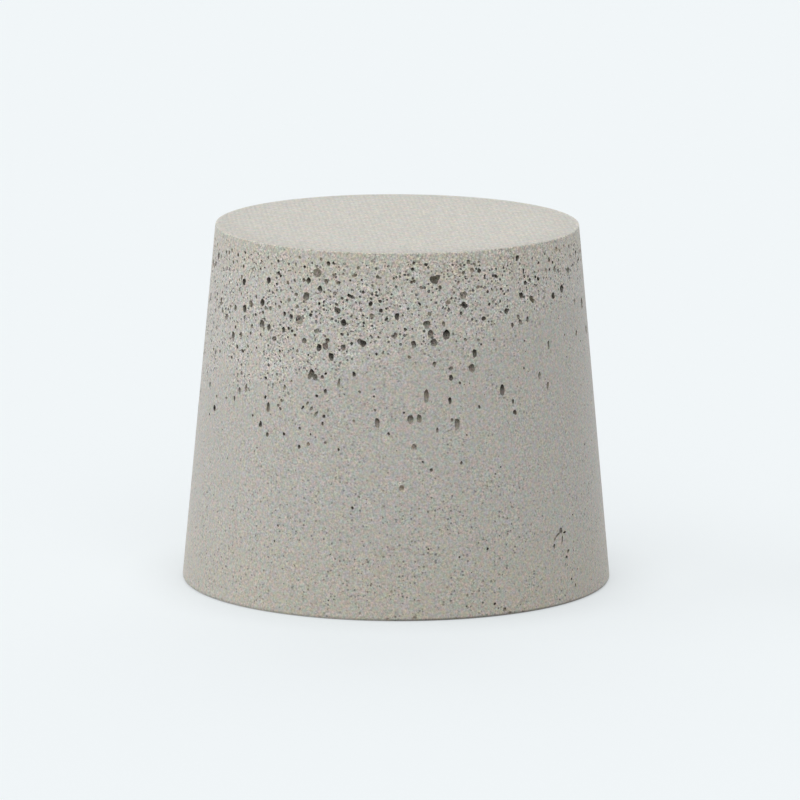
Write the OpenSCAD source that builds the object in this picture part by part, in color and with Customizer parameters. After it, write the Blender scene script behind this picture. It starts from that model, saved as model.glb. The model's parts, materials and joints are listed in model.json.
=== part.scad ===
// Solid tapered rubber stopper, moulded in one piece, with gas pores open all round its side.
// Millimetres, +Z up. The origin is the middle of the large end, on which the stopper stands.
// Angles run round the axis from the front, the -Y side, towards +X.

/* [Body] */
// Diameter of the large end
large_end_d = 55; // [50:0.5:60]
// Diameter of the small end
small_end_d = 46.4; // [42:0.2:49]
// Height from end to end
height = 46; // [44:1:60]

/* [Edges] */
// Radius of the worn edge round the large end
large_edge_r = 0.4; // [0.2:0.1:1]
// Radius of the crisp edge round the small end
small_edge_r = 0.15; // [0.1:0.05:0.5]

/* [Pores] */
// How many pores the spread lays over the side, away from the front
spread_count = 110; // [0:10:140]
// Narrowest mouth in the spread
spread_min_w = 0.5; // [0.4:0.1:0.8]
// Widest mouth in the spread
spread_max_w = 1.2; // [0.8:0.1:1.5]
// Height on the axis of the sloping plane below which the side is nearly free of pores
band_floor = 25; // [10:1:35]
// Rise of that plane for each millimetre towards +X
band_slope = 0.25; // [0:0.05:0.4]

/* [Hidden] */
$fn = 32;

front = -90;                    // the front's own angle round Z
front_half = 74;                // the front's pores reach this far to each side
band_top_gap = 1.8;             // solid rim left above the spread
deep_extra = 0.4;               // depth of a deep pore past the round of its end, over its mouth
open_extra = -0.1;              // the same for a shallow, wide-open pore, whose round starts outside
spread_seed = 11;               // sets the chance places of the spread

large_r = large_end_d / 2;
small_r = small_end_d / 2;
taper = atan((large_r - small_r) / height);

// The front's pores, each [angle, height, width of mouth, length of mouth over width, lean].
// A mouth without a lean is upright, and one with a positive lean has its top to the right.
// Pores that run together share an outline, as at 10 to 13 degrees under the rim.
deep_pores = [
    // upper band
    [-54.3, 40.7, 0.8, 1], [-53, 37.4, 0.8, 1.1], [-45, 38.6, 0.8, 1.1], [-43, 41.5, 0.8, 1],
    [-41.5, 35.6, 0.5, 1.6], [-36, 37.6, 0.5, 1.4], [-33.5, 37.3, 0.5, 1.4], [-36, 35.6, 0.5, 1.4],
    [-28, 42.1, 0.6, 1.3], [-24, 41.2, 0.6, 1.2], [-21.5, 44.4, 0.5, 1.2], [-14.5, 40.6, 0.5, 1.2, -60],
    [-13.5, 40.4, 0.4, 1.6, -60], [-16, 37.2, 0.8, 1], [-21, 34.8, 0.6, 1.2], [-10, 34.7, 0.8, 1.1],
    [-8, 39.6, 0.6, 1.1], [0, 38.1, 0.6, 1.6], [4.5, 42.4, 0.45, 1], [5.2, 42.5, 0.45, 1],
    [11.5, 42.6, 1, 1], [10.6, 42.8, 0.6, 1], [12.4, 42.9, 0.7, 1], [11.4, 42.9, 0.6, 1],
    [12.9, 43.1, 0.4, 1], [11.9, 42.3, 0.5, 1], [15, 35.7, 0.9, 1.5],
    [20.5, 39.4, 0.7, 1], [21.1, 39.2, 0.65, 1], [26, 43.5, 0.5, 1], [27, 37.5, 0.6, 1],
    [35, 38.1, 0.65, 1.2, -20], [41, 39.8, 0.7, 1.2, -15], [43, 41.3, 0.5, 1.2], [45.1, 39.3, 0.65, 1],
    [45.8, 38.9, 0.65, 1], [39.4, 37.2, 0.5, 1.6, -30], [40, 36.5, 0.55, 1.4, -30], [55.5, 39, 0.8, 1],
    [61, 39.6, 0.95, 1.1], [-39, 42.6, 0.45, 1.1], [-38.1, 42.3, 0.4, 1], [-59, 43.8, 0.5, 1],
    [-43.7, 35.4, 0.4, 1], [-29.6, 43.8, 0.4, 1], [-32.8, 35.6, 0.4, 1], [-26.8, 37.8, 0.45, 1],
    [-16.8, 40.2, 0.35, 1], [-10.2, 41.1, 0.35, 1.2], [-3.2, 37.8, 0.4, 1.3, 60], [-6, 33.4, 0.4, 1],
    [9, 44.5, 0.4, 1.1], [31.8, 42.6, 0.5, 1], [33.5, 40.9, 0.4, 1.2], [32.8, 39.5, 0.4, 1],
    [42.3, 42.9, 0.45, 1.1], [48.8, 41.5, 0.45, 1], [52.8, 42.5, 0.4, 1], [-57, 34.8, 0.5, 1],
    [40.2, 44.6, 0.6, 1.2, 20], [-19.8, 44.5, 0.35, 1.4, -30], [19.7, 38.3, 0.4, 1.2, -30],
    [6.8, 39.7, 0.35, 1.6, -40],
    // middle
    [-23.5, 33.8, 0.7, 1.5], [-19.5, 32.8, 0.7, 1.6, -15], [-25.5, 30.6, 0.8, 1.4],
    [-24.5, 30.2, 0.7, 1.1], [-26.2, 30.2, 0.6, 1.2], [-12.5, 30.8, 0.5, 1.3], [23.5, 33.2, 0.6, 1.8],
    [32.2, 28.2, 0.75, 2.1], [15.5, 27.5, 0.5, 1.6], [-40, 25.7, 0.6, 2.2], [-42.5, 23.4, 0.6, 1.3],
    [-66, 23.8, 0.8, 1], [-23.8, 25.5, 0.4, 2.2, 35], [-21.5, 24.4, 0.4, 1.5], [-41.3, 26.9, 0.45, 1],
    [-41.5, 29.3, 0.4, 1], [-28, 26.2, 0.35, 1.4, 35], [-23.7, 27.8, 0.4, 1],
    [-22.1, 30.2, 0.35, 1.4], [-21.1, 30.7, 0.35, 1], [-33.7, 22.6, 0.35, 1],
    [24.5, 26.5, 0.35, 1.6], [36.2, 25.3, 0.5, 1.4], [35.7, 26.7, 0.4, 1.6], [16, 25.1, 0.35, 1],
    [-54.7, 25.8, 0.45, 1.6], [-2.2, 23.5, 0.35, 1.4], [-69, 30.8, 0.6, 1],
    [-21.1, 25.3, 0.35, 1.2, 20],
    // lone pinholes lower down
    [-16.5, 21.3, 0.35, 1.4], [-28.5, 21.2, 0.4, 1.3], [18.5, 19.6, 0.35, 1.7],
    [-12, 14.1, 0.35, 1.3], [-35, 9.1, 0.35, 1], [25.5, 8.6, 0.4, 1], [27, 1.6, 0.35, 1.3]
];
open_pores = [
    // upper band
    [-68, 42.7, 1.2, 1], [-58, 37.2, 0.6, 1.3], [-50, 38.1, 0.8, 1.1], [-44.5, 35.9, 0.9, 1.2],
    [-34.5, 39.4, 0.6, 1], [-32, 40.2, 0.5, 1.2], [-31.5, 38.7, 0.6, 1], [-31.5, 41.6, 0.5, 1],
    [-30.5, 37.1, 1.1, 1], [-28.5, 40.1, 0.9, 1.2], [-25, 43.2, 1.2, 1], [-24.5, 35.9, 0.7, 1],
    [-28.5, 34.6, 0.7, 1.1], [-19.5, 43, 0.6, 1], [-22, 42.2, 0.6, 1.2], [-18, 42.1, 0.5, 1.3, 60],
    [-19, 40.8, 0.6, 1], [-18, 38.6, 0.8, 1.1], [-21.5, 34.1, 0.8, 1.2], [-16, 34.1, 0.7, 1.1],
    [-11.1, 35, 0.75, 1], [-7.5, 38.1, 0.7, 1], [-4, 35.9, 0.7, 1], [-0.5, 35.7, 0.6, 1.3],
    [11.5, 40.9, 0.9, 1], [11, 39.8, 0.7, 1], [9, 37.1, 0.9, 1.2], [10, 35.9, 0.8, 1.4],
    [11, 34.8, 0.8, 1.3], [5, 34.6, 0.6, 1.8], [1, 34.3, 0.7, 1], [15.5, 39.8, 0.6, 1],
    [20.5, 40.6, 1, 1], [23.5, 43.6, 0.6, 1], [22.5, 44.7, 0.5, 1.2], [24.5, 43, 0.4, 1],
    [25.5, 41.5, 0.5, 1], [37, 36.2, 0.5, 1.4], [40, 44.4, 0.5, 1.3], [43, 36.7, 0.5, 1.4],
    [57.5, 42.2, 0.6, 1.4], [66.5, 41.5, 0.8, 1.3], [-56.5, 39.5, 0.5, 1], [-53.5, 43.6, 0.4, 1],
    [-50.5, 42.5, 0.5, 1], [-50.5, 43.1, 0.4, 1], [-48.5, 41.7, 0.5, 1], [-49, 40.6, 0.5, 1],
    [-43, 43.1, 0.4, 1], [-29.7, 42.1, 0.45, 1.2], [-38, 38.4, 0.5, 1], [-54, 34, 0.6, 1.1],
    [-50.5, 33.3, 0.5, 1], [-39, 34.3, 0.6, 1.2], [-48.8, 35.4, 0.4, 1.2], [-31, 33.9, 0.5, 1],
    [-13.2, 43.1, 0.4, 1.8, 70], [-5.5, 43, 0.4, 1.8, -70], [-9, 42.9, 0.35, 1], [7.8, 43, 0.4, 1],
    [24.3, 44.4, 0.45, 1], [25.8, 44.5, 0.4, 1], [27.8, 42.8, 0.4, 1.2], [36.8, 43.5, 0.45, 1],
    [44.8, 41.6, 0.4, 1.2], [50, 43.1, 0.5, 1], [54.8, 43.6, 0.6, 1.1], [51, 39, 0.5, 1],
    [14, 37.1, 0.45, 1.3], [-4.7, 38.8, 0.5, 1.2],
    [59.5, 44.7, 0.7, 1], [73.8, 42.6, 0.8, 1], [68.8, 43.3, 0.5, 1.1], [69.8, 37.3, 0.4, 2.5],
    [-63, 43.4, 0.6, 1], [-59.2, 43, 0.5, 1], [-62.8, 44.9, 0.45, 1], [-68, 37.4, 0.7, 1.6],
    [-62.9, 35.7, 0.7, 1.3], [-66, 36.2, 0.5, 1], [17.6, 40.9, 0.4, 1.3], [17.9, 40.2, 0.4, 1],
    [30.5, 39.5, 0.45, 1], [-24.9, 34, 0.5, 1],
    // middle
    [-58, 33.7, 0.7, 1.4], [-35, 33.2, 0.6, 1], [-71.5, 26.4, 0.8, 1], [-52.5, 27, 0.6, 1.6],
    [-49.5, 27.5, 0.5, 2.2], [-5.5, 24.8, 0.7, 1.8], [11, 32.1, 0.5, 1.6], [22.5, 31.4, 0.8, 1.5],
    [16, 31.5, 0.6, 1.1], [16, 30.3, 0.6, 1.4], [8.6, 28.2, 0.7, 2.4], [4, 25.3, 0.8, 1.4],
    [6.5, 25.3, 0.6, 2], [17.5, 24.5, 0.7, 2], [5, 21.7, 0.7, 1.6], [1.5, 16.6, 0.7, 1.4],
    [46.5, 29.4, 0.5, 2.2], [51.5, 33, 0.5, 2.4], [50, 27.9, 0.4, 2.4], [69, 33.4, 0.6, 1.3],
    [-56.5, 29.2, 0.5, 1], [-52, 29.3, 0.5, 1], [-59, 25.6, 0.5, 1], [-36.5, 26.1, 0.45, 1],
    [-34.5, 28.4, 0.4, 2], [-21, 28.4, 0.45, 1.7], [-39.7, 22.2, 0.45, 1.4], [-16.9, 29.5, 0.4, 3.2],
    [-25.2, 26.1, 0.35, 2.2, 35], [-26.5, 26.8, 0.35, 1.6, 15], [-52.3, 32, 0.4, 1.6, -55],
    [-28.6, 23.6, 0.4, 1.2, -40], [-25.6, 21.7, 0.45, 1], [11.7, 23.9, 0.35, 2],
    [9.8, 18.9, 0.4, 1.5],
    // nicks in the edge of the large end
    [-2, 0.3, 0.4, 1], [5, 0.4, 0.6, 1], [16, 0.2, 0.4, 1], [30, 0.8, 0.5, 1.4]
];
// A tear low on the right, as the same five values: its hole, its arms and the nicks round it.
tear = [
    [51.4, 9.4, 0.5, 1.4, 35], [49.8, 8.95, 0.35, 3.4, 62], [48.6, 8.5, 0.3, 1.6, 30],
    [53, 9.1, 0.3, 2, 85], [51.6, 8.1, 0.3, 3.6, 15], [48.2, 7.7, 0.35, 1.4, 30],
    [54, 6.5, 0.35, 1.6, 25], [53.2, 5.9, 0.3, 1.8, 35], [54.8, 3, 0.4, 1.1], [56.4, 2.1, 0.3, 1.6, 20]
];

// Radius of the tapered side at height z
function side_r(z) = large_r - z * tan(taper);

// Middle of the round on an edge of radius r, when it lies at height z
function edge_centre(z, r) = [side_r(z) - r / cos(taper), z];

// Where that round runs into the side
function edge_end(centre, r) = centre + r * [cos(taper), sin(taper)];

// Half of the section through the axis
module half_section() {
    large_edge = edge_centre(large_edge_r, large_edge_r);
    small_edge = edge_centre(height - small_edge_r, small_edge_r);
    polygon([
        [0, 0],
        [large_edge.x, 0],
        edge_end(large_edge, large_edge_r),
        edge_end(small_edge, small_edge_r),
        [small_edge.x, height],
        [0, height]
    ]);
    translate(large_edge) circle(large_edge_r);
    translate(small_edge) circle(small_edge_r);
}

// A round-ended pit along Z, from its round's centre at -inner up to outer
module pit(r, inner, outer) {
    translate([0, 0, -inner]) {
        sphere(r);
        cylinder(r = r, h = inner + outer);
    }
}

// A bubble that the side cuts open. It runs up into the rubber along its lean, the steeper the longer
// its mouth. Its depth past the round of its end is extra times its width.
module pore(angle, z, width, longness, lean, extra) {
    r = width / 2;
    steepness = acos(1 / longness);
    rotate([0, 0, front + angle]) translate([side_r(z), 0, z])
        rotate([0, 90 - taper, 0]) rotate([0, 0, -lean]) rotate([0, steepness, 0])
            pit(r, r * tan(steepness) + extra * width, r * tan(steepness) + width);
}

module pores(rows, extra) {
    for (p = rows) pore(p[0], p[1], p[2], p[3], is_undef(p[4]) ? 0 : p[4], extra);
}

// The rest of the side carries the same band: one pore at a chance height in each equal
// step of angle, so that none runs into the next. The lower ones are rarer and taller.
module spread_pores() {
    top = height - band_top_gap - spread_max_w / 2;
    heights = rands(0, 1, spread_count, spread_seed);
    widths = rands(0, 1, spread_count, spread_seed + 1);
    for (i = [0 : 1 : spread_count - 1]) {
        angle = front_half + (360 - 2 * front_half) * (i + widths[i]) / spread_count;
        low = band_floor + band_slope * large_r * sin(angle);
        z = top - (top - low) * pow(heights[i], 1.3);
        width = spread_min_w + (spread_max_w - spread_min_w) * pow(widths[i], 2);
        longness = 1 + 2 * (top - z) / height;
        pore(angle, z, width, longness, 0, i % 2 == 0 ? deep_extra : open_extra);
    }
}

module stopper() {
    color([0.69, 0.68, 0.65]) difference() {
        rotate_extrude($fn = 180) half_section();
        pores(deep_pores, deep_extra);
        pores(open_pores, open_extra);
        pores(tear, deep_extra);
        spread_pores();
    }
}

stopper();
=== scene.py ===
import json
import math
import random

import bpy
import numpy as np
from mathutils import Matrix, Vector, kdtree, noise

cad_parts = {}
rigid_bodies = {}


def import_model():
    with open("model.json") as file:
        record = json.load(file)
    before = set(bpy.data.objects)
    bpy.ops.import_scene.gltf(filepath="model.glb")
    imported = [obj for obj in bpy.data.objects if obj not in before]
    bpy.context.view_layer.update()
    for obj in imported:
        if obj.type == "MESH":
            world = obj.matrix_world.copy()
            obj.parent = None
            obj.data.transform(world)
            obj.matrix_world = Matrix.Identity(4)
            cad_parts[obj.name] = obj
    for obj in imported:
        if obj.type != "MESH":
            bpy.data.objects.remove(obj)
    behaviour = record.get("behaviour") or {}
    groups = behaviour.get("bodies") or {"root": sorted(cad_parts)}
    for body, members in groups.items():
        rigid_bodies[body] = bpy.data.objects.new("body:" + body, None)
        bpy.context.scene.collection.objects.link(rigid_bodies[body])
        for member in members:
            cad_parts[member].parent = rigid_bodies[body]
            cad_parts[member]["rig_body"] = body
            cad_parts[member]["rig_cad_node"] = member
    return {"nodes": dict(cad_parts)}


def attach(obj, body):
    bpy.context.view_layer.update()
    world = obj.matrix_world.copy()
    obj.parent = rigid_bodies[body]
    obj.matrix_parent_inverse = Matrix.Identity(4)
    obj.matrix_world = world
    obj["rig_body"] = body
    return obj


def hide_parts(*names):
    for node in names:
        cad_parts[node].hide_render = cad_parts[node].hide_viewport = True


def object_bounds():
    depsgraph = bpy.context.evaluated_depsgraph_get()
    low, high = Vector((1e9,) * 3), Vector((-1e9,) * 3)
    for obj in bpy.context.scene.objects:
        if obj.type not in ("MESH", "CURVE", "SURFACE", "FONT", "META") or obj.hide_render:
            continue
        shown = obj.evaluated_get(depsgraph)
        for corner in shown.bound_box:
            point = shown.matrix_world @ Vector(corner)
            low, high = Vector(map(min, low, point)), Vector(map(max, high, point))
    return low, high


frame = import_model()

mm = 0.001
tiny = 1e-6                    # metres: places nearer than this are one place
cadLow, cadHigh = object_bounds()
print("frame loaded")

# the rubber body, as the CAD node has it
bodySize = {
    "largeEnd": 55 * mm,
    "smallEnd": 46.4 * mm,
    "flatsRound": 288,
    "ringCuts": 11,            # rings of faces keep the cuts in the side tidy
    "largeEdge": 0.4 * mm,     # radius of the worn edge round the large end
    "smallEdge": 0.15 * mm,
    "edgeSteps": 4,
    "rimInset": 0.8 * mm,
    "smoothAngle": 35,         # degrees
    "sliver": 0.004 * mm,      # a face thinner than this has no normal to trust
    "offSide": 0.003 * mm,     # a vertex nearer than this is on the side
    "facing": 0.999,
}
height = cadHigh.z - cadLow.z
largeRadius = bodySize["largeEnd"] / 2
slope = (bodySize["largeEnd"] - bodySize["smallEnd"]) / 2 / height
taper = math.atan(slope)


def sideRadius(z):
    return largeRadius - slope * z


def onSideAt(angle, z):
    radius = sideRadius(z)
    return Vector((radius * math.cos(angle), radius * math.sin(angle), z))


cameraView = {
    "elevation": 10.78,        # degrees above the horizon
    "distance": 937.8 * mm,
    "lens": 329.1,             # mm
    "sensor": 36,              # mm
    "aimRight": 0.43 * mm,
    "roll": 0.2,               # degrees
    "clip": (0.05, 20),        # metres
}


def makeCamera():
    aim = Vector((cameraView["aimRight"], 0, height / 2))
    up = math.radians(cameraView["elevation"])
    back = Vector((0, -math.cos(up), math.sin(up)))
    bpy.ops.object.camera_add(location=aim + back * cameraView["distance"])
    camera = bpy.context.object
    camera.name = "camera"
    turn = (-back).to_track_quat("-Z", "Y").to_matrix()
    roll = Matrix.Rotation(math.radians(cameraView["roll"]), 3, "Z")
    camera.rotation_euler = (turn @ roll).to_euler()
    camera.data.lens = cameraView["lens"]
    camera.data.sensor_width = cameraView["sensor"]
    camera.data.clip_start, camera.data.clip_end = cameraView["clip"]
    bpy.context.scene.camera = camera


bpy.ops.object.select_all(action="DESELECT")
makeCamera()
print("camera placed")


# a value that changes over a surface: an expression on fields adds Math nodes
class Field:
    def __init__(self, finish, socket):
        self.finish = finish
        self.socket = socket

    def __add__(self, other):
        return self.finish.maths("ADD", self, other)

    def __sub__(self, other):
        return self.finish.maths("SUBTRACT", self, other)

    def __rsub__(self, other):
        return self.finish.maths("SUBTRACT", other, self)

    def __mul__(self, other):
        return self.finish.maths("MULTIPLY", self, other)

    def __truediv__(self, other):
        return self.finish.maths("DIVIDE", self, other)

    def __pow__(self, other):
        return self.finish.maths("POWER", self, other)

    __radd__ = __add__
    __rmul__ = __mul__


# the nodes of one material or of the world
class Finish:
    def __init__(self, block):
        block.use_nodes = True
        self.tree = block.node_tree
        self.tree.nodes.clear()

    # an input is named by its label, or by its number as i0, i1 and so on
    def node(self, kind, settings=None, **inputs):
        made = self.tree.nodes.new("ShaderNode" + kind)
        for name, value in (settings or {}).items():
            setattr(made, name, value)
        for name, value in inputs.items():
            label = int(name[1:]) if name[1:].isdigit() else name.replace("_", " ")
            socket = made.inputs[label]
            if isinstance(value, Field):
                value = value.socket
            if isinstance(value, bpy.types.NodeSocket):
                self.tree.links.new(value, socket)
            else:
                socket.default_value = value
        return made

    def maths(self, operation, *values):
        sockets = {"i%d" % i: value for i, value in enumerate(values)}
        return Field(self, self.node("Math", {"operation": operation}, **sockets).outputs[0])

    def ramp(self, value, low, high, start=0.0, end=1.0):
        made = self.node("MapRange", {"interpolation_type": "SMOOTHSTEP"},
                         i0=value, i1=low, i2=high, i3=start, i4=end)
        return Field(self, made.outputs[0])

    def noise(self, place, size, detail=2.0, rough=0.5):
        made = self.node("TexNoise", Vector=place, Scale=1 / size, Detail=detail, Roughness=rough)
        return Field(self, made.outputs["Fac"])

    def shifted(self, place, metres):
        moved = self.node("VectorMath", {"operation": "ADD"}, i0=place, i1=(metres, metres, metres))
        return moved.outputs[0]

    def blend(self, share, first, second, mode="MIX"):
        made = self.node("Mix", {"data_type": "RGBA", "blend_type": mode}, i0=share, i6=first, i7=second)
        return made.outputs[2]


stageLook = {
    "background": (0.880, 0.922, 0.940, 1),
    "floorAlbedo": (0.66, 0.66, 0.66, 1),   # what the part sees of the floor
    "litAlbedo": (0.915, 0.958, 0.977, 1),  # what the camera sees, which turns out as the background does
    "floorSize": 8.0,
    "floorDrop": 0.02 * mm,    # so that it and the underside aren't in one plane
    "ownLight": 0.58,          # share of the floor's look that no shadow touches
    "contactReach": 9 * mm,    # how far the painted shadow in the floor's glow spreads round the foot
    "contactShade": 0.28,
    "contactSamples": 8,
    "skyStrength": 0.46,
    "skyColour": (1.0, 1.0, 1.0, 1),
}
lamps = {                      # strength, degrees across, elevation, degrees from the front to the right
    "frontLight": (1.15, 60, 50, 0),
    "leftLight": (1.12, 60, 12, -90),
    "backLight": (0.85, 60, 30, 180),
}


def makeFloor():
    size = stageLook["floorSize"]
    bpy.ops.mesh.primitive_plane_add(size=size, location=(0, 0, cadLow.z - stageLook["floorDrop"]))
    floor = bpy.context.object
    floor.name = "floor"
    floor.data.materials.append(bpy.data.materials.new("floorFinish"))
    look = Finish(floor.data.materials[0])
    ray = look.node("LightPath")
    seen = Field(look, ray.outputs["Is Camera Ray"])
    plain = look.node("BsdfDiffuse", Color=stageLook["floorAlbedo"])
    lit = look.node("BsdfDiffuse", Color=stageLook["litAlbedo"])
    # a painted contact shadow: ambient occlusion darkens the floor's glow round the foot
    around = look.node("AmbientOcclusion", {"samples": stageLook["contactSamples"]},
                       Distance=stageLook["contactReach"])
    paintedShadow = (1 - Field(look, around.outputs["AO"])) * stageLook["contactShade"]
    glowColour = look.blend(paintedShadow, stageLook["background"], (0, 0, 0, 1))
    glow = look.node("Emission", Color=glowColour, Strength=1.0)
    shown = look.node("MixShader", i0=stageLook["ownLight"], i1=lit.outputs[0], i2=glow.outputs[0])
    both = look.node("MixShader", i0=seen, i1=plain.outputs[0], i2=shown.outputs[0])
    look.node("OutputMaterial", Surface=both.outputs[0])


def makeWorld():
    world = bpy.data.worlds.new("studio")
    bpy.context.scene.world = world
    look = Finish(world)
    ray = look.node("LightPath")
    seen = look.maths("MAXIMUM", ray.outputs["Is Camera Ray"], ray.outputs["Is Glossy Ray"])
    sky = look.node("Background", Color=stageLook["skyColour"], Strength=stageLook["skyStrength"])
    shown = look.node("Background", Color=stageLook["background"], Strength=1.0)
    both = look.node("MixShader", i0=seen, i1=sky.outputs[0], i2=shown.outputs[0])
    look.node("OutputWorld", Surface=both.outputs[0])


def makeLamp(name):
    strength, across, elevation, azimuth = lamps[name]
    up = math.radians(elevation)
    side = math.radians(azimuth)
    towards = Vector((math.sin(side) * math.cos(up), -math.cos(side) * math.cos(up), math.sin(up)))
    bpy.ops.object.light_add(type="SUN", location=towards)
    lamp = bpy.context.object
    lamp.name = name
    lamp.data.energy = strength
    lamp.data.angle = math.radians(across)
    lamp.rotation_euler = towards.to_track_quat("Z", "Y").to_euler()


makeFloor()
makeWorld()
for name in lamps:
    makeLamp(name)
bpy.context.scene.view_settings.view_transform = "Standard"
print("stage and lights made")


def pick(obj):
    bpy.ops.object.select_all(action="DESELECT")
    obj.select_set(True)
    bpy.context.view_layer.objects.active = obj


# opens the mesh for editing, with what is selected in it kept
def editMesh(obj, mode):
    pick(obj)
    bpy.context.tool_settings.mesh_select_mode = [mode == kind for kind in ("VERT", "EDGE", "FACE")]
    bpy.ops.object.mode_set(mode="EDIT")


def closeMesh():
    bpy.ops.mesh.select_all(action="DESELECT")
    bpy.ops.object.mode_set(mode="OBJECT")


def selectOnly(obj, vertices=None, edges=None, faces=None):
    parts = ((obj.data.vertices, vertices), (obj.data.edges, edges), (obj.data.polygons, faces))
    for part, chosen in parts:
        part.foreach_set("select", np.zeros(len(part), bool) if chosen is None else chosen)


def finishWith(obj, kind, **settings):
    pick(obj)
    modifier = obj.modifiers.new(kind.lower(), kind)
    for name, value in settings.items():
        setattr(modifier, name, value)
    bpy.ops.object.modifier_apply(modifier=modifier.name)


def vertexPlaces(obj):
    places = np.zeros(len(obj.data.vertices) * 3)
    obj.data.vertices.foreach_get("co", places)
    return places.reshape(-1, 3)


# the three vertices of each face
def cornerVertices(obj):
    corners = np.zeros(len(obj.data.loops), int)
    obj.data.loops.foreach_get("vertex_index", corners)
    return corners.reshape(-1, 3)


# how far each place lies under the tapered side
def underSide(places):
    radius = np.hypot(places[:, 0], places[:, 1])
    return (largeRadius - slope * places[:, 2] - radius) * math.cos(taper)


# rounds the edge at height z, where turn is the angle inside the rubber
def bevelEnd(obj, z, radius, turn):
    atEnd = np.abs(vertexPlaces(obj)[:, 2] - z) < tiny
    selectOnly(obj, edges=[all(atEnd[i] for i in edge.vertices) for edge in obj.data.edges])
    editMesh(obj, "EDGE")
    bpy.ops.mesh.bevel(offset_type="OFFSET", offset=radius / math.tan(turn / 2),
                       segments=bodySize["edgeSteps"], profile=0.5, affect="EDGES")
    closeMesh()


# a ring of faces just inside the edge keeps the flat end's shading flat
def insetEnd(obj, z):
    selectOnly(obj, faces=[abs(face.center.z - z) < tiny for face in obj.data.polygons])
    editMesh(obj, "FACE")
    bpy.ops.mesh.inset(thickness=bodySize["rimInset"])
    closeMesh()


# the plain tapered body
def makeBody():
    bpy.ops.mesh.primitive_cone_add(vertices=bodySize["flatsRound"], radius1=largeRadius,
                                    radius2=bodySize["smallEnd"] / 2, depth=height,
                                    location=(0, 0, height / 2))
    body = bpy.context.object
    body.name = "stopperSkin"
    bpy.ops.object.transform_apply(location=True, rotation=True, scale=True)
    bevelEnd(body, 0.0, bodySize["largeEdge"], math.pi / 2 - taper)
    bevelEnd(body, height, bodySize["smallEdge"], math.pi / 2 + taper)
    insetEnd(body, 0.0)
    insetEnd(body, height)
    levels = vertexPlaces(body)[:, 2]
    ends = np.array([edge.vertices[:] for edge in body.data.edges])
    selectOnly(body, edges=np.ptp(levels[ends], axis=1) > height / 2)
    editMesh(body, "EDGE")
    bpy.ops.mesh.subdivide(number_cuts=bodySize["ringCuts"])
    closeMesh()
    return body


# the large pores, taken from the CAD node
poreShape = {
    "leastDepth": 0.004 * mm,  # a vertex deeper than this is inside a pore
    "clearOfEnds": 0.5 * mm,
    "keepShare": 0.17,         # share of the CAD pores' faces that stays
    "mouthReach": 1.03,        # how far the cutter stands out past each mouth
    "lumpSize": 0.45 * mm,
    "lumpHeight": 0.36 * mm,
    "markDepth": 0.01 * mm,    # from here down a pore is measured
    "leastWidth": 0.1 * mm,
}


def poreVertices(places, depth, clear):
    level = places[:, 2]
    return (underSide(places) > depth) & (level > clear) & (level < height - clear)


def selectOpenEdges():
    bpy.ops.mesh.select_all(action="DESELECT")
    bpy.ops.mesh.select_non_manifold(use_wire=False, use_multi_face=False, use_non_contiguous=False,
                                     use_verts=False)


# a closed copy of every pore in the CAD node, standing out past its mouth
def makePoreCutter():
    node = frame["nodes"]["stopper"]
    cutter = node.copy()
    cutter.data = node.data.copy()
    cutter.parent = None
    cutter.name = "poreCutter"
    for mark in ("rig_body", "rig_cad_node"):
        del cutter[mark]
    bpy.context.scene.collection.objects.link(cutter)
    editMesh(cutter, "VERT")
    bpy.ops.mesh.select_all(action="SELECT")
    bpy.ops.mesh.remove_doubles(threshold=tiny)
    closeMesh()
    places = vertexPlaces(cutter)
    inPore = poreVertices(places, poreShape["leastDepth"], poreShape["clearOfEnds"])
    selectOnly(cutter, faces=~inPore[cornerVertices(cutter)].any(axis=1))
    editMesh(cutter, "FACE")
    bpy.ops.mesh.delete(type="FACE")
    closeMesh()
    print("pore faces", len(cutter.data.polygons))
    finishWith(cutter, "DECIMATE", ratio=poreShape["keepShare"])
    editMesh(cutter, "EDGE")
    selectOpenEdges()
    bpy.ops.mesh.extrude_region_move()
    reach = poreShape["mouthReach"]
    bpy.ops.transform.resize(value=(reach, reach, 1), center_override=(0, 0, 0))
    bpy.ops.mesh.select_all(action="SELECT")
    bpy.ops.mesh.fill_holes(sides=0)
    bpy.ops.mesh.select_all(action="SELECT")
    bpy.ops.mesh.quads_convert_to_tris()
    bpy.ops.mesh.normals_make_consistent(inside=False)
    closeMesh()
    print("pore cutter faces", len(cutter.data.polygons))
    return cutter


finePores = {
    "seed": 8,
    "most": 2.2,               # tries to the square mm, where every one is kept
    "zones": [                 # foot of the zone over the band's slope, share of tries kept, widest
        (36 * mm, 1.0, 0.5 * mm),
        (24 * mm, 0.13, 0.42 * mm),
        (-9 * mm, 0.035, 0.32 * mm),
    ],
    "bandSlope": 0.25,
    "top": 44.9 * mm,
    "foot": 0.9 * mm,
    "least": 0.15 * mm,
    "roundFrom": 0.3 * mm,     # smaller ones are cut with a plainer bubble
    "gap": 0.06 * mm,
    "room": 0.7,               # of its width, from a pore's middle to the gap
    "rarity": 3,               # the higher, the fewer are wide
    "lengths": (0.9, 0.5),     # length over width: the least, and what chance adds
    "lean": 2,                 # radians between the two most leaning
    "sink": 0.35,              # of its width, at most
    "patch": 4.5 * mm,         # size of the places that have more and fewer
    "patchLift": 0.55,
    "patchGain": 1.5,
    "patchLeast": 0.15,
}


def treeOf(places):
    tree = kdtree.KDTree(len(places))
    for i, place in enumerate(places):
        tree.insert(place, i)
    tree.balance()
    return tree


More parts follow.
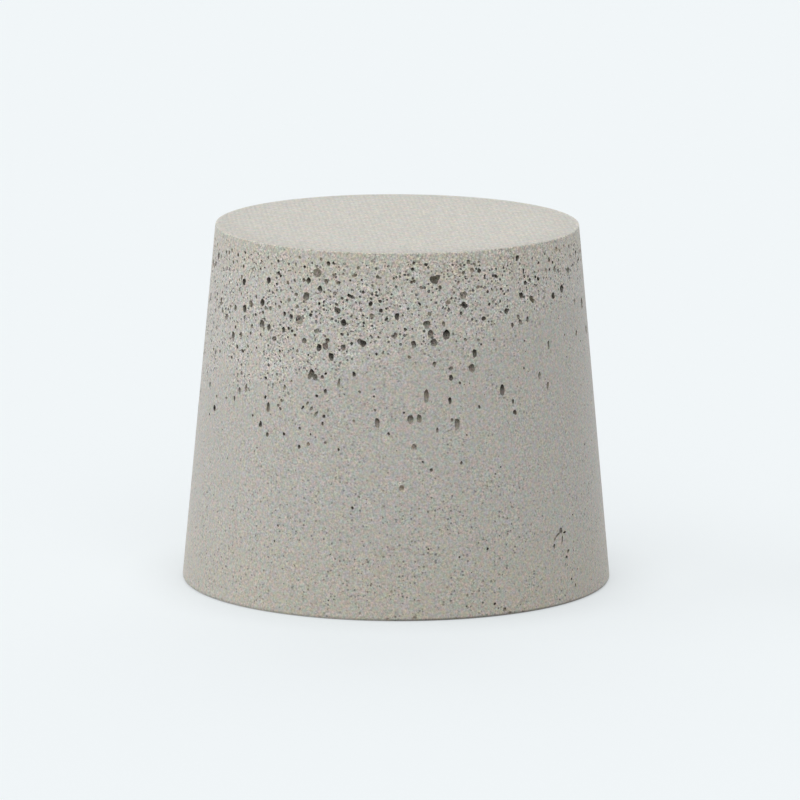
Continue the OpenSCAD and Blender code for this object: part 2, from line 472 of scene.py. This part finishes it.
# chance places on the side, clear of the pores that are there and of each other
def finePorePlaces(taken, hand):
    draw = random.Random(finePores["seed"])
    large = treeOf(taken)
    marked = treeOf([row[1] for row in hand])
    area = 2 * math.pi * sideRadius(height / 2) * (finePores["top"] - finePores["foot"])
    tries = int(area / mm ** 2 * finePores["most"])
    places = np.full((tries, 3), 1.0)
    rooms = np.zeros(tries)
    shortest, more = finePores["lengths"]
    rows = []                  # each: angle, spot, width, length, lean and how far in it sits
    for _ in range(tries):
        angle = draw.uniform(0, 2 * math.pi)
        z = draw.uniform(finePores["foot"], finePores["top"])
        size, tall, sink, luck = [draw.random() for _ in range(4)]
        spot = onSideAt(angle, z)
        level = z - finePores["bandSlope"] * spot.x
        share, widest = next(zone[1:] for zone in finePores["zones"] if level > zone[0])
        patch = (noise.noise(spot / finePores["patch"]) + finePores["patchLift"]) * finePores["patchGain"]
        if luck > share * min(1.0, max(finePores["patchLeast"], patch)):
            continue
        width = finePores["least"] + (widest - finePores["least"]) * size ** finePores["rarity"]
        room = width * finePores["room"]
        reach = room + finePores["gap"]
        if min(large.find(spot)[2], marked.find(spot)[2]) < reach:
            continue
        used = len(rows)
        if used and (np.linalg.norm(places[:used] - spot, axis=1) - rooms[:used]).min() < reach:
            continue
        places[used] = spot
        rooms[used] = room
        length = width * (shortest + more * tall)
        lean = (tall - 0.5) * finePores["lean"]
        rows.append((angle, spot, width, length, lean, width * finePores["sink"] * sink))
    return rows


# one bubble, copied to every place and turned to stand in the side
def makeBubbles(rows, subdivisions):
    bpy.ops.mesh.primitive_ico_sphere_add(subdivisions=subdivisions, radius=0.5)
    bubble = bpy.context.object
    copies = []
    for angle, spot, width, length, lean, inward in rows:
        copy = bubble.copy()
        copy.data = bubble.data.copy()
        shape = Matrix.Diagonal((width, width, length, 1))
        turn = Matrix.Rotation(angle, 4, "Z") @ Matrix.Rotation(-taper, 4, "Y")
        roll = Matrix.Rotation(lean, 4, "X")
        sunk = Matrix.Translation((-inward, 0, 0))
        copy.data.transform(Matrix.Translation(spot) @ turn @ sunk @ roll @ shape)
        bpy.context.scene.collection.objects.link(copy)
        copies.append(copy)
    bpy.data.objects.remove(bubble)
    bpy.ops.object.select_all(action="DESELECT")
    for copy in copies:
        copy.select_set(True)
    bpy.context.view_layer.objects.active = copies[0]
    bpy.ops.object.join()
    return copies[0]


# angle from the front, height, width and length in mm, lean in degrees
marks = {
    "specks": [
        (53.3, 4.9, 0.28, 0.3, 0), (55.6, 4.1, 0.3, 0.34, 0), (58, 4, 0.3, 0.3, 0),
        (49.1, 0.8, 0.3, 0.3, 0),
    ],
    "edgeNicks": [             # in the worn edge round the large end
        (-2, 0.3, 0.45, 0.4, 0), (5, 0.35, 0.6, 0.5, -20), (16, 0.15, 0.5, 0.4, 0), (24, 0.1, 0.35, 0.3, 0),
        (31.5, 0.3, 0.6, 0.4, 0), (41, 0.12, 0.5, 0.3, 0), (52, 0.1, 0.45, 0.3, 0),
    ],
}


def markRows():
    rows = []
    for group in marks.values():
        for degrees, z, width, length, lean in group:
            angle = math.radians(degrees - 90)
            spot = onSideAt(angle, z * mm)
            rows.append((angle, spot, width * mm, length * mm, math.radians(lean), 0.0))
    return rows


def makeFineCutter(taken):
    hand = markRows()
    rows = finePorePlaces(taken, hand)
    plain = makeBubbles([row for row in rows if row[2] < finePores["roundFrom"]], 1)
    rounder = makeBubbles([row for row in rows if row[2] >= finePores["roundFrom"]] + hand, 2)
    pick(rounder)
    plain.select_set(True)
    bpy.ops.object.join()
    rounder.name = "fineCutter"
    print("fine pores", len(rows), "marks", len(hand))
    return rounder


# bubbles are never quite round
def roughen(obj):
    lumps = bpy.data.textures.new("lumps", "CLOUDS")
    lumps.noise_scale = poreShape["lumpSize"]
    finishWith(obj, "DISPLACE", texture=lumps, texture_coords="LOCAL",
               strength=poreShape["lumpHeight"], mid_level=0.5)


def cutWith(body, cutter):
    finishWith(body, "BOOLEAN", operation="DIFFERENCE", object=cutter, solver="MANIFOLD")
    bpy.data.objects.remove(cutter)


# takes out the few faces that the cuts leave joined wrongly, and fills their holes
def closeGaps(obj, passes=8):
    editMesh(obj, "EDGE")
    for _ in range(passes):
        bpy.ops.mesh.select_mode(type="EDGE")
        bpy.ops.mesh.select_all(action="DESELECT")
        bpy.ops.mesh.select_non_manifold(use_verts=False)
        wrong = obj.data.total_edge_sel
        print("edges joined wrongly", wrong)
        if not wrong:
            break
        bpy.ops.mesh.select_mode(use_extend=False, use_expand=True, type="FACE")
        bpy.ops.mesh.delete(type="FACE")
        bpy.ops.mesh.select_all(action="SELECT")
        bpy.ops.mesh.delete_loose()
        bpy.ops.mesh.select_mode(type="EDGE")
        selectOpenEdges()
        bpy.ops.mesh.fill_holes(sides=0)
        bpy.ops.mesh.quads_convert_to_tris()
    closeMesh()


# shades the side as the true cone, however the cuts have split its faces
def smoothSide(obj):
    pick(obj)
    bpy.ops.object.shade_smooth_by_angle(angle=math.radians(bodySize["smoothAngle"]))
    places = vertexPlaces(obj)
    corners = cornerVertices(obj)
    threes = places[corners]
    rise = slope * np.hypot(threes[..., 0], threes[..., 1])
    outward = np.stack([threes[..., 0], threes[..., 1], rise], axis=2)
    outward /= np.linalg.norm(outward, axis=2, keepdims=True)
    faceNormals = np.zeros(len(corners) * 3)
    obj.data.polygons.foreach_get("normal", faceNormals)
    facing = (outward * faceNormals.reshape(-1, 1, 3)).sum(axis=2).min(axis=1)
    across = np.linalg.norm(threes - np.roll(threes, 1, axis=1), axis=2).max(axis=1)
    area = np.zeros(len(corners))
    obj.data.polygons.foreach_get("area", area)
    sliver = area < across * bodySize["sliver"]
    onSide = np.abs(underSide(places)) < bodySize["offSide"]
    keep = onSide[corners].all(axis=1) & (sliver | (facing > bodySize["facing"]))
    outward[~keep] = 0
    obj.data.normals_split_custom_set(outward.reshape(-1, 3))


# writes down how deep each pore is for its width, so that its finish can paint more shade into a deep pit
# than into an open bowl
def markPores(obj):
    places = vertexPlaces(obj)
    count = len(places)
    ends = np.zeros(len(obj.data.edges) * 2, int)
    obj.data.edges.foreach_get("vertices", ends)
    ends = ends.reshape(-1, 2)
    inPore = poreVertices(places, poreShape["markDepth"], poreShape["clearOfEnds"] / 2)
    inner = ends[inPore[ends].all(axis=1)]
    pore = np.arange(count)
    while True:                # vertices of one pore come to share its lowest number
        lowest = pore[inner].min(axis=1)
        joined = pore.copy()
        np.minimum.at(joined, inner[:, 0], lowest)
        np.minimum.at(joined, inner[:, 1], lowest)
        joined = joined[joined]
        if (joined == pore).all():
            break
        pore = joined
    deepest = np.zeros(count)
    np.maximum.at(deepest, pore[inPore], underSide(places)[inPore])
    across = ends[inPore[ends].sum(axis=1) == 1]
    inside, mouth = np.where(inPore[across[:, :1]], across, across[:, ::-1]).T
    pore[mouth] = pore[inside]
    low = np.full((count, 3), 1.0)
    high = np.full((count, 3), -1.0)
    np.minimum.at(low, pore[mouth], places[mouth])
    np.maximum.at(high, pore[mouth], places[mouth])
    span = np.maximum(high - low, 0)
    width = (np.hypot(span[:, 0], span[:, 1]) + span[:, 2]) / 2
    ratio = deepest / np.maximum(width, poreShape["leastWidth"])
    shown = inPore.copy()
    shown[mouth] = True
    pits = obj.data.attributes.new("pit", "FLOAT", "POINT")
    pits.data.foreach_set("value", np.where(shown, ratio[pore], 0.0))
    print("pores marked", int((deepest > 0).sum()))


body = makeBody()
print("body", len(body.data.polygons))
cutter = makePoreCutter()
taken = vertexPlaces(cutter)
roughen(cutter)
cutWith(body, cutter)
print("after large pores", len(body.data.polygons))
fine = makeFineCutter(taken)
cutWith(body, fine)
print("after fine pores", len(body.data.polygons))
finishWith(body, "TRIANGULATE")
closeGaps(body)
print("triangles", len(body.data.polygons))
smoothSide(body)
markPores(body)


rubberLook = {
    "tone": (0.468, 0.451, 0.407, 1),
    "roughness": 0.55,
    "sheen": 0.3,              # a trace of dust, seen at a slant
    "sheenRoughness": 0.5,
    "grainSize": 0.25 * mm,
    "grainRough": 0.65,
    "grain": 1.65,             # how much the grain changes the tone
    "grainHeight": 0.06,       # mm
    "dotEdge": (1.15, 0.65),   # a dot's soft edge, and the outer one of the ring round it
    "lipEdge": (1.8, 1.3),
    "patchSize": 3 * mm,       # patches with more and with less grain and pinholes
    "patchOffset": 0.3,
    "patchRange": (0.38, 0.62),
    "mottleSize": 0.5 * mm,    # spacing of the faint colour changes
    "mottleRange": (0.3, 0.7),
    "tints": [                 # the offset of each one's pattern, and its two ends
        (0.5, (0.91, 1.0, 1.072, 1), (1.09, 1.0, 0.928, 1)),
        (1.1, (0.945, 1.04, 0.945, 1), (1.055, 0.96, 1.055, 1)),
    ],
    "band": {
        "foot": 30 * mm,           # the pored band fades in from here
        "full": 37 * mm,
        "slope": 0.25,             # it hangs lower on the left
        "wander": 8 * mm,          # how far its foot goes up and down
        "wanderSize": 9 * mm,
        "baldRim": 1.3 * mm,       # hardly pored, just under the small end
        "tone": 1.1,               # the rubber between its pores
        "grain": 3.0,
        "grainHeight": 0.12,       # mm
        "clumpSize": 2.6 * mm,
        "clumpRange": (0.36, 0.6),
    },
    "smallEnd": {
        "tint": (0.862, 0.83, 0.762, 1),
        "grain": 1.7,
        "grainHeight": 0.03,       # mm
        "feltSize": 0.55 * mm,     # unevenness of its tone
        "felt": 1.2,
        "mottle": 0.6,             # how closely the places of its colour changes are counted
        "clothPitch": 0.585 * mm,  # threads printed in it
        "clothTurn": 4.4,          # degrees
        "clothHeight": 0.035,      # mm
        "clothShade": 0.17,
        "clothBends": [(2.5 * mm, 2.0, 3), (0.9 * mm, 1.0, 2)],  # size, detail and strength of each
        "clothPatch": 1.2 * mm,
        "ringFrom": 18 * mm,       # darker from here out
        "ringShade": 0.09,
        "lipShade": 0.16,          # and a painted highlight at its very edge
    },
    "pores": {
        "wall": (0.015, 0.08),     # mm down, from skin to wall, over which the painted shade comes in
        "bowl": 0.6,               # how much of its tone the wall of a shallow, open pore keeps under the painted shade
        "pit": 0.28,               # and of a deep one
        "pitFrom": (0.6, 0.82),    # depth over width between the two
        "tint": (1.05, 1.0, 0.93, 1),
        "pale": [                  # two spared most of the painted shade: angle from the front, height, reach
            (5, 21.7 * mm, 1.5 * mm),
            (1.5, 16.7 * mm, 1.5 * mm),
        ],
        "paleKept": 0.97,
        "glints": [                # painted highlights on bits of their lips
            (5.3, 21.42 * mm, 0.3 * mm),
            (0.95, 17.25 * mm, 0.3 * mm),
            (2.1, 16.5 * mm, 0.3 * mm),
        ],
        "glint": 0.34,
    },
    "dots": {                      # too small to be cut: the finest pores of the band, as dots of painted shade with pale rings of painted highlight
        "cell": 0.5 * mm,
        "widths": (0.1, 0.42),     # of a cell, least and most
        "depth": 0.14,             # mm
        "shade": 0.76,
        "lip": 0.22,
    },
    "pins": {                      # pinholes lower down, as dots of painted shade
        "cell": 0.5 * mm,
        "widths": (0.04, 0.34),
        "depth": 0.06,             # mm
        "shade": 0.56,
        "middle": (14 * mm, 20 * mm),  # from here up to the band there are fewer
        "middleKept": 0.6,
    },
    "highlightFlecks": {                    # pale flecks: small painted highlights
        "cell": 0.6 * mm,
        "widths": (0.04, 0.24),
        "offset": 0.7,
        "shade": 0.19,
    },
    "nearEnds": {                  # the side near both of its ends
        "tint": (1.012, 0.996, 0.955, 1),
        "fades": [(14 * mm, 2 * mm), (40 * mm, 44.5 * mm)],
        "foot": (0.38 * mm, 0.15 * mm),  # painted shade: the dark line where it stands
        "footFrom": (-8 * mm, 4 * mm),   # from left to right
        "footShade": 0.45,
    },
}


# round dots, one to a cell, each as wide as chance gives it, and the rings round them
def cells(look, place, size, widths):
    least, most = widths
    made = look.node("TexVoronoi", Vector=place, Scale=1 / size)
    away = Field(look, made.outputs["Distance"])
    chance = Field(look, look.node("SeparateColor", i0=made.outputs["Color"]).outputs[0])
    share = away / (least + chance * (most - least))
    dots = look.ramp(share, *rubberLook["dotEdge"])
    return dots, look.ramp(share, *rubberLook["lipEdge"]) * (1 - dots)


# one near a spot on the side, and nought away from it
def nearSpot(look, place, degrees, z, reach):
    spot = onSideAt(math.radians(degrees - 90), z)
    away = look.node("VectorMath", {"operation": "DISTANCE"}, i0=place, i1=spot)
    return look.ramp(away.outputs["Value"], reach, reach * 0.6)


def clothImprint(look, place, x, y):
    smallEndLook = rubberLook["smallEnd"]
    turn = math.radians(smallEndLook["clothTurn"])
    wave = 2 * math.pi / smallEndLook["clothPitch"]
    bend = sum(look.noise(place, size, detail) * strength
               for size, detail, strength in smallEndLook["clothBends"])
    threads = look.maths("SINE", (x * math.cos(turn) + y * math.sin(turn)) * wave + bend)
    crossing = look.maths("SINE", (y * math.cos(turn) - x * math.sin(turn)) * wave + bend)
    patchy = look.noise(place, smallEndLook["clothPatch"], 2.0) * 2 - 0.4
    return (threads * 0.6 + crossing * 0.4) * patchy


def makeRubber():
    bandLook, smallEndLook, poreLook = rubberLook["band"], rubberLook["smallEnd"], rubberLook["pores"]
    dotLook, pinLook, fleckLook = rubberLook["dots"], rubberLook["pins"], rubberLook["highlightFlecks"]
    endsLook = rubberLook["nearEnds"]
    rubber = bpy.data.materials.new("poredRubber")
    look = Finish(rubber)
    place = look.node("TexCoord").outputs["Object"]
    split = look.node("SeparateXYZ", Vector=place)
    x, y, z = (Field(look, socket) for socket in split.outputs)
    radius = (x * x + y * y) ** 0.5
    depth = (largeRadius - z * slope - radius) * (math.cos(taper) / mm)

    # where things are
    clear = poreShape["clearOfEnds"]
    onSide = look.ramp(z, clear * 0.8, clear) * look.ramp(z, height - clear * 0.4, height - clear * 0.5)
    onTop = look.ramp(z, height - 0.03 * mm, height - 0.01 * mm)
    wander = (look.noise(place, bandLook["wanderSize"], 1.0) - 0.5) * bandLook["wander"]
    level = z - x * bandLook["slope"] + wander
    band = look.ramp(level, bandLook["foot"], bandLook["full"]) * (1 - onTop)
    clumps = look.ramp(look.noise(place, bandLook["clumpSize"], 2.0), *bandLook["clumpRange"])
    belowRim = look.ramp(z, height - bandLook["baldRim"] * 0.6, height - bandLook["baldRim"] * 1.4)
    patchPlace = look.shifted(place, rubberLook["patchOffset"])
    patches = look.ramp(look.noise(patchPlace, rubberLook["patchSize"], 2.0), *rubberLook["patchRange"])
    middle = look.ramp(z, *pinLook["middle"]) * look.ramp(level, bandLook["full"], bandLook["foot"])

    # what a part's own look says, blended from place to place
    def byPlace(name):
        low = rubberLook[name]
        share = band * (clumps * 0.7 + 0.3)
        return low + share * (bandLook[name] - low) + onTop * (smallEndLook[name] - low)

    # the finest pores as dots of painted shade, pale lips of painted highlight round them, and the grain of
    # the skin
    dots, paintedLipHighlights = cells(look, place, dotLook["cell"], dotLook["widths"])
    dotted = band * clumps * belowRim
    dots = dots * dotted
    paintedLipHighlights = paintedLipHighlights * dotted
    # pinholes, painted darker as the shade in them
    pins = cells(look, place, pinLook["cell"], pinLook["widths"])[0]
    pins = pins * (1 - onTop) * (patches * 0.5 + 0.5) * (belowRim * 0.7 + 0.3)
    pins = pins * (1 - middle * (1 - pinLook["middleKept"]))
    # pale flecks, painted as small highlights on the side
    fleckPlace = look.shifted(place, fleckLook["offset"])
    highlightFlecks = cells(look, fleckPlace, fleckLook["cell"], fleckLook["widths"])[0]
    highlightFlecks = highlightFlecks * (band * 0.6 + 0.4) * onSide * belowRim
    grain = look.noise(place, rubberLook["grainSize"], 3.0, rubberLook["grainRough"]) - 0.5
    felt = (look.noise(place, smallEndLook["feltSize"], 3.0, rubberLook["grainRough"]) - 0.5) * onTop
    cloth = clothImprint(look, place, x, y) * onTop

    # how light the rubber is in its pores: painted shade darkens their walls, a deep pit more than an open
    # bowl
    inPore = look.ramp(depth, *poreLook["wall"]) * onSide
    ratio = look.node("Attribute", {"attribute_name": "pit"}).outputs["Fac"]
    paintedPoreLight = look.ramp(ratio, *poreLook["pitFrom"], poreLook["bowl"], poreLook["pit"])
    for spot in poreLook["pale"]:
        paintedPoreLight = paintedPoreLight + (poreLook["paleKept"] - paintedPoreLight) * nearSpot(look, place, *spot)
    shade = 1 - inPore * (1 - paintedPoreLight)
    # painted highlights on the lips of the two pale pores
    for spot in poreLook["glints"]:
        shade = shade * (1 + nearSpot(look, place, *spot) * poreLook["glint"])

    # on its skin
    shade = shade * (1 + band * (bandLook["tone"] - 1))
    shade = shade * (1 - dots * dotLook["shade"]) * (1 + paintedLipHighlights * dotLook["lip"])
    shade = shade * (1 - pins * pinLook["shade"]) * (1 + highlightFlecks * fleckLook["shade"])
    shade = shade * (1 + grain * byPlace("grain") * (patches * 0.4 + 0.8))
    shade = shade * (1 + cloth * smallEndLook["clothShade"]) * (1 + felt * smallEndLook["felt"])

    # and at its edges: a darker ring on the small end, a painted highlight round its rim and painted shade
    # along the foot
    smallRadius = bodySize["smallEnd"] / 2
    ring = look.ramp(radius, smallEndLook["ringFrom"], smallRadius - 0.5 * mm) * onTop
    nearTop = look.ramp(z, height - 0.12 * mm, height - 0.06 * mm)
    paintedRim = look.ramp(radius, smallRadius - 0.5 * mm, smallRadius - 0.25 * mm) * nearTop
    foot = look.ramp(z, *endsLook["foot"]) * look.ramp(x, *endsLook["footFrom"])
    shade = shade * (1 - ring * smallEndLook["ringShade"]) * (1 + paintedRim * smallEndLook["lipShade"])
    shade = shade * (1 - foot * endsLook["footShade"])

    # its colour
    nearEnds = sum(look.ramp(z, *fade) for fade in endsLook["fades"]) * (1 - onTop)
    tone = look.blend(inPore, rubberLook["tone"], poreLook["tint"], "MULTIPLY")
    tone = look.blend(nearEnds, tone, endsLook["tint"], "MULTIPLY")
    tone = look.blend(onTop, tone, smallEndLook["tint"], "MULTIPLY")
    closeness = 1 - onTop * (1 - smallEndLook["mottle"])
    counted = look.node("VectorMath", {"operation": "SCALE"}, i0=place, i3=closeness).outputs[0]
    for offset, first, second in rubberLook["tints"]:
        change = look.noise(look.shifted(counted, offset), rubberLook["mottleSize"], 2.0, 0.6)
        tint = look.blend(look.ramp(change, *rubberLook["mottleRange"]), first, second)
        tone = look.blend(1.0, tone, tint, "MULTIPLY")
    grey = look.node("CombineColor", i0=shade, i1=shade, i2=shade).outputs[0]
    tone = look.blend(1.0, tone, grey, "MULTIPLY")

    relief = grain * byPlace("grainHeight") - dots * dotLook["depth"] - pins * pinLook["depth"]
    relief = relief + cloth * smallEndLook["clothHeight"]
    bump = look.node("Bump", Strength=1.0, Distance=mm, Height=relief)
    skin = look.node("BsdfPrincipled", Base_Color=tone, Roughness=rubberLook["roughness"],
                     Specular_IOR_Level=0.5, Sheen_Weight=rubberLook["sheen"],
                     Sheen_Roughness=rubberLook["sheenRoughness"], Normal=bump.outputs[0])
    look.node("OutputMaterial", Surface=skin.outputs[0])
    return rubber


body.data.materials.clear()
body.data.materials.append(makeRubber())
body.name = "stopperRubber"
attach(body, "root")
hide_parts("stopper")
print("rubber finished")
